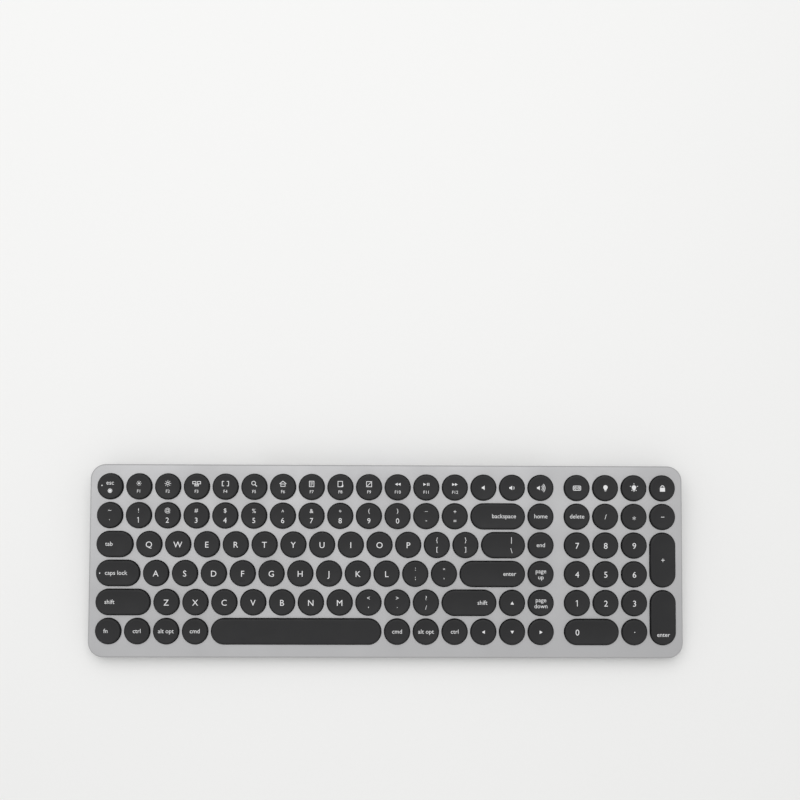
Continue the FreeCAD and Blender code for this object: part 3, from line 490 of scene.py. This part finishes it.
def pictures():
    """Plain pictograms by key name, as lists of flat shapes in mm about the key's centre."""
    up = PICTURE
    return {
        "escape": [disc(-5.3, 0.6, LAMP_RADIUS), bend(0, -2.9, 1.25, width=0.4), disc(0, -2.9, 0.85, 24)],
        "f1": [disc(0, up, 0.6)] + rays(0, up, 1.05, 1.6, 8, 0.4),
        "f2": [bend(0, up, 0.85)] + rays(0, up, 1.4, 2.1, 8),
        "f3": [frame_lines(-2.6, up - 0.2, -0.5, up + 1.3), frame_lines(0.5, up - 0.2, 2.6, up + 1.3),
               frame_lines(-1.2, up - 1.6, 1.2, up - 0.8)],
        "f4": [line(s * 2.1, up - 1.7, s * 2.1, up + 1.7, 0.45) for s in (-1, 1)]
        + [line(s * 2.3, up + t * 1.5, s * 0.9, up + t * 1.5, 0.4) for s in (-1, 1) for t in (-1, 1)],
        "f5": [bend(-0.4, up + 0.4, 1.25), line(0.5, up - 0.5, 1.8, up - 1.8, 0.5)],
        "f6": [line(-2.2, up, 0, up + 1.8, 0.45), line(0, up + 1.8, 2.2, up, 0.45),
               frame_lines(-1.4, up - 1.7, 1.4, up - 0.1)],
        "f7": [frame_lines(-1.5, up - 1.8, 1.5, up + 1.8), line(-0.8, up + 0.8, 0.8, up + 0.8, 0.35),
               line(-0.8, up, 0.8, up, 0.35), line(-0.8, up - 0.8, 0.3, up - 0.8, 0.35)],
        "f8": [frame_lines(-1.6, up - 1.8, 1.4, up + 1.8),
               shape((0.3, up - 1.7), (1.9, up - 1.7), (1.9, up - 0.3))],
        "f9": [frame_lines(-1.7, up - 1.7, 1.7, up + 1.7), line(-1.2, up - 1.2, 1.2, up + 1.2, 0.4)],
        "f10": [shape((x, up), (x + 1.8, up - 0.95), (x + 1.8, up + 0.95)) for x in (-1.8, 0.1)],
        "f11": [shape((-2.0, up - 0.95), (-0.2, up), (-2.0, up + 0.95)),
                line(0.7, up - 0.9, 0.7, up + 0.9, 0.5), line(1.7, up - 0.9, 1.7, up + 0.9, 0.5)],
        "f12": [shape((x, up - 0.95), (x + 1.8, up), (x, up + 0.95)) for x in (-1.9, 0)],
        "mute": speaker(0.3),
        "quieter": speaker(-0.4) + [bend(0, 0, 1.3, -45, 45, 0.4, 8)],
        "louder": speaker(-1.0) + [bend(-0.8, 0, r, -45, 45, 0.4, 8) for r in (1.9, 2.8, 3.7)],
        "calculator": rounded_frame(2.5, 1.4, 0.6, 0.45) + [bend(-1.1, 0, 0.65), bend(1.1, 0, 0.65)],
        "dimmer": bulb(),
        "brighter": bulb() + rays(0, 0.6, 2.0, 2.8, 5, 0.4, math.pi / 2),
        "lock": [shape((-1.7, -2.1), (1.7, -2.1), (1.7, 0.5), (-1.7, 0.5)), bend(0, 0.7, 1.1, 0, 180, 0.5)],
        "pad_subtract": [line(-1.15, 0, 1.15, 0, 0.38)],
        "up": [shape((-1.15, -0.9), (1.15, -0.9), (0, 1.1))],
        "down": [shape((-1.15, 0.9), (0, -1.1), (1.15, 0.9))],
        "left": [shape((0.9, -1.15), (0.9, 1.15), (-1.1, 0))],
        "right": [shape((-0.9, -1.15), (1.1, 0), (-0.9, 1.15))],
    }


# ------------------------------------------------------------------ key caps

# Heights are from the deck's top face.
CAP_RADIUS, CAP_RISE, CAP_FOOT = 8.3, 2.2, -1.6
CAP_INNER, CAP_CEILING = 7.4, 1.0
PLUNGER_RADIUS, PLUNGER_TIP = 1.6, 0.3
CAP_TOP_RADIUS, CAP_EDGE = 8.15, 0.6
RIM = CAP_TOP_RADIUS - CAP_EDGE
DISH, SPACE_DISH = 0.4, 0.12  # how far the middle of a key's top is below its rim
LAMP_FROM_END, LAMP_RADIUS = 5.9, 0.42  # the small printed lamp at the left of caps lock
INK = 0.02  # a legend stands this far out of the cap


def dish_height(distance, depth):
    """Height of a cap's top, this far from its centre line: the rim less a parabola to the middle."""
    share = np.minimum(distance / RIM, 1.0)
    return CAP_RISE - depth * (1 - share ** 2)


def dish_of(key):
    """The space bar is nearly flat, and every other key is dished."""
    return SPACE_DISH if key["name"] == "space" else DISH


def cap(key):
    """A hollow cap: ceiling, inner wall, foot, drafted outer wall, round rim and dished top."""
    rings = np.linspace(RIM, 0, 9)[1:]
    profile = [(0, CAP_CEILING), (CAP_INNER, CAP_CEILING), (CAP_INNER, CAP_FOOT)]
    profile += [(CAP_RADIUS - 0.1, CAP_FOOT), (CAP_RADIUS, CAP_FOOT + 0.1)]
    profile += arc(RIM, CAP_RISE - CAP_EDGE, CAP_EDGE, 0, 90, 7)
    profile += [(r, float(dish_height(r, dish_of(key)))) for r in rings]
    return carried(outline(key["x"], key["y"], key["half_x"], key["half_y"], 64), profile)


def plunger(key):
    """The turned peg under the middle of a cap, with a bevelled tip, that stands over the dome."""
    profile = [(PLUNGER_RADIUS - 0.3, PLUNGER_TIP), (PLUNGER_RADIUS, PLUNGER_TIP + 0.2),
               (PLUNGER_RADIUS, CAP_CEILING + 0.1)]
    return carried(outline(key["x"], key["y"], steps=20), profile, cap_first=True, cap_last=True)


def homing_bar(key):
    """A short raised bar near the front of the cap, rounded over."""
    level = float(dish_height(4.6, DISH))
    left, front = key["x"] - 1.7, key["y"] - 5.0
    return slab(left, left + 3.4, front, front + 0.6, level - 0.2, level + 0.3, 0.29, 0.2)


def printed(key, art):
    """Lays a key's flat legends on its top: each point takes the dish's height there, plus the ink."""
    flats = list(art.get(key["name"], []))
    for text, *where, align in texts_on(key):
        flats += one(*where) if text == "1" else [lettering(text, *where, align)]
    if key["name"] == "caps_lock":
        flats.append(disc(-key["half_x"] - LAMP_FROM_END, 0, LAMP_RADIUS))
    laid = []
    for flat, faces in flats:
        past_x = np.maximum(np.abs(flat[:, 0]) - key["half_x"], 0)
        past_y = np.maximum(np.abs(flat[:, 1]) - key["half_y"], 0)
        height = dish_height(np.hypot(past_x, past_y), dish_of(key)) + INK
        points = np.column_stack([flat[:, 0] + key["x"], flat[:, 1] + key["y"], height])
        laid.append((points, faces))
    return laid


# ------------------------------------------------------------------ domes and scissor links under the keys

DOME_TOP = PLUNGER_TIP - 0.05 + MEMBRANE_DROP  # above the membrane: just under the plunger
LINK_ROOM = CAP_CEILING + MEMBRANE_DROP
OUTER_LINK, INNER_LINK, LINK_REACH = 5.5, 4.35, 4.8  # half widths of the two frames, and half their length
LINK_LEAN = 21.0  # degrees from flat


def dome(key):
    """A turned silicone dome: flat rim, thin cone, round head, and the hollow beneath."""
    outer = [(2.9, 0), (2.9, 0.35), (2.6, 0.55), (1.8, DOME_TOP - 0.9), (1.7, DOME_TOP - 0.3)]
    outer += [(1.5, DOME_TOP - 0.05), (1.2, DOME_TOP)]
    inner = [(0, DOME_TOP - 1.1), (1.1, DOME_TOP - 1.15), (1.35, DOME_TOP - 1.3), (2.2, 0.35), (2.25, 0)]
    profile = inner + outer + [(0, DOME_TOP)]
    points, faces = carried(outline(key["x"], key["y"], steps=20), profile)
    return points - [0, 0, MEMBRANE_DROP], faces


def link_pair(key):
    """Two crossed frames: a rounded rectangle of square section, tipped forward and back about x."""
    made = []
    section = [(0.0, -0.4), (0.85, -0.4), (1.0, -0.25), (1.0, 0.25), (0.85, 0.4), (0.0, 0.4), (0.0, -0.4)]
    middle = [key["x"], key["y"], LINK_ROOM / 2 - MEMBRANE_DROP]
    for half_wide, lean in ((OUTER_LINK, LINK_LEAN), (INNER_LINK, -LINK_LEAN)):
        points, faces = carried(outline(0, 0, half_wide - 1.0, LINK_REACH - 1.0, 12), section)
        tip = math.radians(lean)
        y = points[:, 1] * math.cos(tip) - points[:, 2] * math.sin(tip)
        z = points[:, 1] * math.sin(tip) + points[:, 2] * math.cos(tip)
        made.append((np.column_stack([points[:, 0], y, z]) + middle, faces))
    return made


def print_film(name, prints, body):
    """The legends of a node's keys as one thin film of ink, whose underside sinks into the caps."""
    points, faces = gathered(prints)
    mesh = bpy.data.meshes.new(name)
    mesh.from_pydata(on_deck(points).tolist(), [], faces)
    mesh.materials.append(LEGEND_INK)
    legend = bpy.data.objects.new(name, mesh)
    bpy.context.scene.collection.objects.link(legend)
    film = legend.modifiers.new("film", "SOLIDIFY")
    film.thickness, film.offset = 2 * INK * MM, -1.0
    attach(legend, body)


def press_with(soft):
    """Gives a soft piece a mesh of its own."""
    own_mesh(soft)


def make_keys():
    """For each key node its caps, their legends, and the domes and links under them.

    The first node's domes and links stand for the one CAD node that holds all of them.
    """
    art = pictures()
    for number, (node, keys) in enumerate(KEY_NODES.items()):
        body = BODY_OF[node]
        caps = [made(key) for key in keys for made in (cap, plunger)]
        caps += [homing_bar(key) for key in keys if key["name"] in ("f", "j", "pad_5")]
        piece("cap_" + node, caps, on_deck, KEY_ABS, body, [node])
        prints = [laid for key in keys for laid in printed(key, art)]
        if prints:
            print_film("legend_" + node, prints, body)
        domes = piece("dome_" + node, [dome(key) for key in keys], on_deck, SILICONE, "case",
                      ["rubber_domes"] if number == 0 else ())
        press_with(domes)
        links = piece("links_" + node, [part for key in keys for part in link_pair(key)], on_deck, ACETAL,
                      "case", ["scissor_links"] if number == 0 else ())
        press_with(links)


make_keys()


# ------------------------------------------------------------------ deck

KEY_HOLE = 8.7  # radius
HOLE_EDGE = 0.15
CHAMFER = 0.8
TRIANGLE_SLACK = 1e-7  # mm: how far a point may be off an edge and still be on it
# Screw posts, in key pitches across and down from the first key.
POSTS = (
    (0.5, 0.5), (5.5, 0.5), (10.5, 0.5), (17.77, 0.5), (2.5, 4.5), (10.5, 4.5), (14.5, 4.5), (17.77, 4.5),
)


def loop_of(around, radius):
    """One ring of an outline at a radius, without the points that repeat."""
    centres, directions = around
    ring = centres + radius * directions
    fresh = np.linalg.norm(ring - np.roll(ring, 1, 0), axis=1) > SAME_PLACE
    return ring[fresh]


def pierced_face(outer, holes, height):
    """A flat face between an outer ring and the key holes: triangles on both, less those in a hole."""
    rings = [outer] + [loop_of(around, radius) for around, radius, _ in holes]
    points = np.concatenate(rings)
    counts = np.array([len(ring) for ring in rings])
    ends = np.cumsum(counts)
    following = np.arange(len(points)) + 1
    following[ends - 1] = ends - counts
    edges = np.column_stack([np.arange(len(points)), following])
    found = geometry.delaunay_2d_cdt(points.tolist(), edges.tolist(), [], 1, TRIANGLE_SLACK)
    vertices, triangles = np.array(found[0]), np.array(found[2])
    middle = vertices[triangles].mean(1)
    keep = np.ones(len(triangles), bool)
    for _, radius, key in holes:
        past_x = np.maximum(np.abs(middle[:, 0] - key["x"]) - key["half_x"], 0)
        past_y = np.maximum(np.abs(middle[:, 1] - key["y"]) - key["half_y"], 0)
        keep &= np.hypot(past_x, past_y) > radius
    return np.column_stack([vertices, np.full(len(vertices), height)]), triangles[keep]


def make_deck():
    """The aluminium deck: pierced top and underside, a small round on every hole, and the skirt."""
    half_x, half_y = CASE_WIDTH / 2, CASE_DEPTH / 2
    case = outline(half_x, half_y, half_x - CASE_CORNER, half_y - CASE_CORNER, 80)
    holes = [outline(key["x"], key["y"], key["half_x"], key["half_y"], 48) for key in KEYS]
    rim_inset = CHAMFER + 0.15
    skirt = [(rim_inset, 0.0), (CHAMFER - 0.05, -0.04), (0.08, -CHAMFER + 0.03), (0.0, -CHAMFER - 0.15),
             (0.0, -SKIRT_DEPTH + 0.15), (0.15, -SKIRT_DEPTH), (WALL, -SKIRT_DEPTH), (WALL, -DECK_THICKNESS)]
    surfaces = [carried(case, [(CASE_CORNER - inset, height) for inset, height in skirt])]
    hole_profile = arc(KEY_HOLE + HOLE_EDGE, -HOLE_EDGE, HOLE_EDGE, 90, 180, 4)
    hole_profile.append((KEY_HOLE, -DECK_THICKNESS))
    surfaces += [carried(around, hole_profile) for around in holes]
    levels = ((rim_inset, KEY_HOLE + HOLE_EDGE, 0.0), (WALL, KEY_HOLE, -DECK_THICKNESS))
    for inset, radius, height in levels:
        rings = [(around, radius, key) for around, key in zip(holes, KEYS)]
        surfaces.append(pierced_face(loop_of(case, CASE_CORNER - inset), rings, height))
    post = [(1.0, -3.0), (1.0, -SKIRT_DEPTH), (2.4, -SKIRT_DEPTH), (2.4, -1.6), (2.9, -1.3)]
    for across, down in POSTS:
        x, y = LEFT_MARGIN + PITCH * across, CASE_DEPTH - REAR_MARGIN - PITCH * down
        surfaces.append(carried(outline(x, y, steps=24), post, cap_first=True, cap_last=True))
    deck = piece("deck", surfaces, on_deck, ANODISED, "case", ["top_case"])
    # Large flat faces keep their own direction, and the small rounds turn to meet them.
    even = deck.modifiers.new("even", "WEIGHTED_NORMAL")
    even.keep_sharp = True


make_deck()


# ------------------------------------------------------------------ sockets in the rear wall

SHELL = 0.3  # thickness of the folded steel
MOUTH = REAR_FACE - 0.3
BOARD_TOP = 5.0
SOLDER = 0.1  # between the board and a shell
SET_BACK = 0.7  # of a tongue's tip from the mouth
FIT = 0.05  # between an insulator and its shell
CONTACT_RISE, CONTACT_SHORT = 0.06, 0.8  # of a contact above its tongue, and from the tongue's tip
SOCKETS = {
    "usb_c_sockets": {"x": (-73.2, -58.7), "wide": 8.34, "high": 2.56, "round": 1.25, "deep": 7.9},
    "usb_a_sockets": {"x": (-21.7, -2.9, 15.9), "wide": 12.5, "high": 5.12, "round": 0.4, "deep": 14.0},
    "sd_card_socket": {"x": (44.1,), "wide": 24.4, "high": 2.5, "round": 0.3, "deep": 17.0},
    "micro_sd_socket": {"x": (70.5,), "wide": 11.4, "high": 1.2, "round": 0.2, "deep": 12.5},
    "hdmi_socket": {"x": (92.2,), "wide": 14.0, "high": 4.55, "round": 0.5, "deep": 11.5},
}
# Tongue width, thickness, length, height above the opening's middle; contacts: count, pitch, width.
TONGUES = {
    "usb_c_sockets": (6.6, 0.7, 5.0, 0.0, 12, 0.5, 0.28),
    "usb_a_sockets": (11.1, 1.84, 9.2, 0.95, 4, 2.3, 1.0),
    "sd_card_socket": (22.0, 0.5, 11.0, 0.75, 9, 2.5, 1.2),
    "micro_sd_socket": (9.6, 0.3, 7.0, 0.3, 8, 1.1, 0.6),
    "hdmi_socket": (11.2, 1.1, 7.6, 0.25, 10, 1.0, 0.45),
}


def facing_rear(points):
    """Turns (across, up, out to the rear) in mm into the row frame in metres."""
    return points[:, [0, 2, 1]] * MM


def socket_shell(x, middle, kind):
    """A folded steel shell: outside, flared mouth, inside and back, in one profile round the opening."""
    radius = kind["round"]
    around = outline(x, middle, kind["wide"] / 2 - radius, kind["high"] / 2 - radius, 24)
    back = MOUTH - kind["deep"]
    profile = [(radius + SHELL, back), (radius + SHELL, MOUTH - 0.12), (radius + SHELL - 0.06, MOUTH),
               (radius + 0.12, MOUTH), (radius, MOUTH - 0.2), (radius, back + SHELL)]
    return carried(around, profile, cap_first=True, cap_last=True)


def make_sockets():
    """Each socket as a steel shell, a plastic insulator with its tongue, and its row of contacts."""
    for node, kind in SOCKETS.items():
        wide, thick, long, rise, count, spacing, contact = TONGUES[node]
        middle = BOARD_TOP + SOLDER + SHELL + kind["high"] / 2
        back = MOUTH - kind["deep"] + SHELL
        face = MOUTH - long - SET_BACK
        shells, insulators, contacts = [], [], []
        for x in kind["x"]:
            shells.append(socket_shell(x, middle, kind))
            half_wide, half_high = kind["wide"] / 2 - FIT, kind["high"] / 2 - FIT
            corner = min(kind["round"], half_high - 0.02)
            insulators.append(slab(x - half_wide, x + half_wide, middle - half_high, middle + half_high,
                                   back + FIT, face, corner, min(0.12, corner / 2)))
            level = middle + rise
            insulators.append(slab(x - wide / 2, x + wide / 2, level - thick / 2, level + thick / 2,
                                   face - 0.1, face + long, min(0.3, thick / 2 - 0.02), 0.1))
            sides = (1, -1) if node in ("usb_c_sockets", "hdmi_socket") else (-1,)
            for n in range(count):
                across = x + (n - (count - 1) / 2) * spacing
                for side in sides:
                    skin = level + side * thick / 2
                    contacts.append(slab(across - contact / 2, across + contact / 2, skin - CONTACT_RISE,
                                         skin + CONTACT_RISE, face, face + long - CONTACT_SHORT,
                                         0.05, 0.04, 8))
        tongue_material = BLUE_INSULATOR if node == "usb_a_sockets" else INSULATOR
        name = node.replace("_sockets", "").replace("_socket", "")
        piece(name + "_shell", shells, facing_rear, SOCKET_STEEL, "case", [node])
        piece(name + "_insulator", insulators, facing_rear, tongue_material, "case")
        piece(name + "_contacts", contacts, facing_rear, GOLD, "case")


make_sockets()


# ------------------------------------------------------------------ finishes of the CAD parts that stay


def board_laminate():
    """Glass-epoxy board under green solder mask: its tracks show as lines a little lighter than the rest."""
    material, tree, shader, where = blank("masked_glass_epoxy")
    tracks = add(tree, "ShaderNodeTexBrick", {
        "Vector": where, "Scale": 1.0,
        "Mortar Size": 0.12 * MM, "Brick Width": 7.4 * MM, "Row Height": 1.3 * MM,
        "Color1": linear("#0f4a2a"), "Color2": linear("#12532f"), "Mortar": linear("#2c7a4d")})
    weave = add(tree, "ShaderNodeTexNoise", {"Vector": where, "Scale": 1 / (0.4 * MM)})
    bump = add(tree, "ShaderNodeBump", {"Height": weave.outputs[0], "Distance": 0.01 * MM})
    tree.links.new(tracks.outputs["Color"], shader.inputs["Base Color"])
    tree.links.new(bump.outputs[0], shader.inputs["Normal"])
    shader.inputs["Roughness"].default_value = 0.32
    shader.inputs["IOR"].default_value = 1.5
    return material


def striped(name, base, stripe, spacing, relief, rough, ior=1.55):
    """A film with parallel printed lines, spacing mm apart, that stand out by relief mm."""
    material, tree, shader, where = blank(name)
    waves = add(tree, "ShaderNodeTexWave", {"Vector": where, "Scale": math.pi / (10 * spacing * MM)},
                wave_type="BANDS", bands_direction="X")
    bump = add(tree, "ShaderNodeBump", {"Height": waves.outputs["Fac"], "Distance": relief * MM})
    tree.links.new(two_tone(tree, waves.outputs["Fac"], base, stripe), shader.inputs["Base Color"])
    tree.links.new(bump.outputs[0], shader.inputs["Normal"])
    shader.inputs["Roughness"].default_value = rough
    shader.inputs["IOR"].default_value = ior
    return material


FINISHES = {
    "bottom_cover": SHELL_ABS,
    "port_panel": PORT_PC,
    # Polyester film, screen-printed with carbon ink: smooth and dark, with faint lines.
    "membrane_sheet": striped("printed_polyester_film", "#1a1b1d", "#26282b", 1.6, 0.01, 0.35, ior=1.6),
    # Zinc-coated sheet steel: spangled, dull and cool.
    "support_plate": grained("zinc_coated_steel", ("#a9abad", "#8f9295"), 1.2, 0.01, (0.35, 0.5),
                             metallic=1.0, blotch=6.0),
    # Acrylic sheet that carries the light, milky white where it is printed.
    "light_guide": grained("printed_acrylic", ("#dfe1e2", "#eff0f0"), 0.6, 0.005, (0.15, 0.3), ior=1.49),
    # Spring steel, drawn to wire and oiled: grey and smooth, with soft bright streaks.
    "stabiliser_wires": grained("drawn_spring_steel", ("#b5b5b4", "#9b9b9a"), 0.2, 0.004, (0.25, 0.38),
                                metallic=1.0),
    "main_board": board_laminate(),
    # Moulded epoxy of the chips: dull black with a fine grain.
    "board_chips": grained("moulded_epoxy", ("#1a1a1b", "#252526"), 0.2, 0.01, (0.5, 0.65), ior=1.55,
                           blotch=4.0),
    # Flat cable: tinned conductors show through polyester as lines a millimetre apart.
    "ribbon_cable": striped("laminated_flat_cable", "#d9d7d0", "#a9a8a4", 1.0, 0.02, 0.4),
    # Zinc-plated screws: bright with a bluish cast.
    "screws": grained("zinc_plated_steel", ("#b9bcc0", "#9ea2a8"), 0.3, 0.006, (0.25, 0.4), metallic=1.0,
                      blotch=2.0),
    # Moulded rubber: dark, dry and slightly dusty.
    "rubber_feet": grained("moulded_rubber", ("#1c1c1c", "#2b2a2a"), 0.5, 0.03, (0.7, 0.85), ior=1.52),
}
for node, material in FINISHES.items():
    materials = frame["nodes"][node].data.materials
    materials.clear()
    materials.append(material)


# ------------------------------------------------------------------ floor, lights and camera

# Painted desk top: satin, nearly white, with the faint orange peel of a rolled coat.
DESK = grained("painted_desk", ("#ececeb", "#f1f1f0"), 2.0, 0.01, (0.45, 0.55), blotch=400.0)
FLOOR_REACH, FLOOR_LINES, FLOOR_DROP = 8.0, 21, 0.00002  # metres, and how many grid lines each way
SURROUND = 0.7  # strength of the white surround
SOFTBOX_AT, SOFTBOX_SIZE, SOFTBOX_WATTS = (-0.15, 0.65, 1.5), 1.8, 12.5
CAMERA_AT = (-4.65, 3.339, 818.856)  # mm
CAMERA_TURN = (7.4, -0.95, 0.17)  # degrees about x, y and z, from straight down
CAMERA_LENS, CAMERA_SENSOR = 54.0, 36.0


def make_floor():
    """A wide flat floor, sixteen metres across, just under the feet: a square grid at one height."""
    edge = np.linspace(-FLOOR_REACH, FLOOR_REACH, FLOOR_LINES)
    across, deep = np.meshgrid(edge, edge)
    points = np.stack([across, deep, np.full_like(across, -FLOOR_DROP)], -1).reshape(-1, 3)
    index = np.arange(FLOOR_LINES ** 2).reshape(FLOOR_LINES, FLOOR_LINES)
    quads = np.stack([index[:-1, :-1], index[:-1, 1:], index[1:, 1:], index[1:, :-1]], -1).reshape(-1, 4)
    mesh = bpy.data.meshes.new("floor")
    mesh.from_pydata(points.tolist(), [], quads.tolist())
    mesh.materials.append(DESK)
    floor = bpy.data.objects.new("floor", mesh)
    bpy.context.scene.collection.objects.link(floor)


def make_light():
    """A white surround, and one large square softbox behind and above, aimed at the keyboard."""
    world = bpy.data.worlds.new("studio")
    world.use_nodes = True
    background = world.node_tree.nodes["Background"]
    background.inputs["Color"].default_value = (1.0, 1.0, 1.0, 1.0)
    background.inputs["Strength"].default_value = SURROUND
    bpy.context.scene.world = world
    light = bpy.data.lights.new("overhead", "AREA")
    light.shape, light.size, light.energy = "SQUARE", SOFTBOX_SIZE, SOFTBOX_WATTS
    lamp = bpy.data.objects.new("overhead", light)
    lamp.location = SOFTBOX_AT
    lamp.rotation_mode = "QUATERNION"
    lamp.rotation_quaternion = (-Vector(SOFTBOX_AT)).to_track_quat("-Z", "Y")
    bpy.context.scene.collection.objects.link(lamp)


def make_camera():
    """A 54 mm lens 0.8 m above the middle of the keyboard, that looks down and a little to the rear."""
    data = bpy.data.cameras.new("camera")
    data.lens, data.sensor_width = CAMERA_LENS, CAMERA_SENSOR
    data.clip_start, data.clip_end = 0.01, 20.0
    camera = bpy.data.objects.new("camera", data)
    camera.location = [part * MM for part in CAMERA_AT]
    camera.rotation_euler = [math.radians(turn) for turn in CAMERA_TURN]
    bpy.context.scene.collection.objects.link(camera)
    bpy.context.scene.camera = camera


make_floor()
make_light()
make_camera()
bpy.context.scene.view_settings.view_transform = "Standard"
